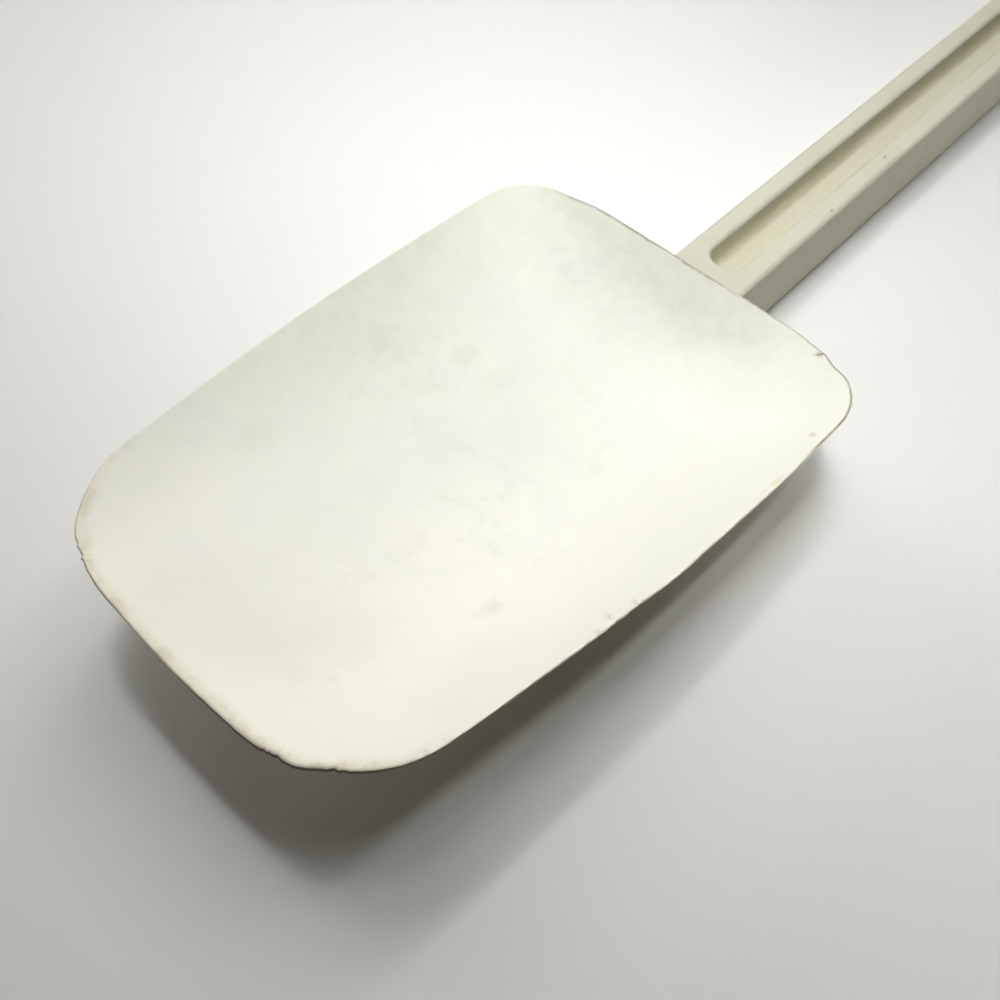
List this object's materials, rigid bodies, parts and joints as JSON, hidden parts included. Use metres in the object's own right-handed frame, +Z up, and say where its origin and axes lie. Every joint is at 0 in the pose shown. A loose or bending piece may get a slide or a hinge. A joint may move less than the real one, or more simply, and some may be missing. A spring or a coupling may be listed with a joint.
{
  "type": "heat-resistant spatula",
  "caption": "Spoon-shaped heat-resistant spatula: a dished, feather-edged elastomer blade pushed onto the tang of a straight channelled handle, for scraping and scooping food",
  "frame": {"origin": "middle of the overall box, on the surface the tool lies on", "axes": "+X from the tip of the blade to the end of the handle, +Y across the blade, +Z up out of the hollow side of the blade"},
  "size_m": [0.343, 0.074, 0.0286],
  "materials": {
    "handle_plastic": "off-white moulded heat-resistant plastic, satin, with faint handling marks",
    "blade_elastomer": "smooth cream-white silicone elastomer, matt, stained and nicked along its edge by use"
  },
  "bodies": {
    "handle": {"handle": "handle_plastic"},
    "blade": {"blade": "blade_elastomer"}
  },
  "joints": [
    {"name": "blade_pull_off", "type": "slide", "parent": "handle", "child": "blade", "axis": [-1, 0, 0], "range_m": [0, 0.05]}
  ]
}
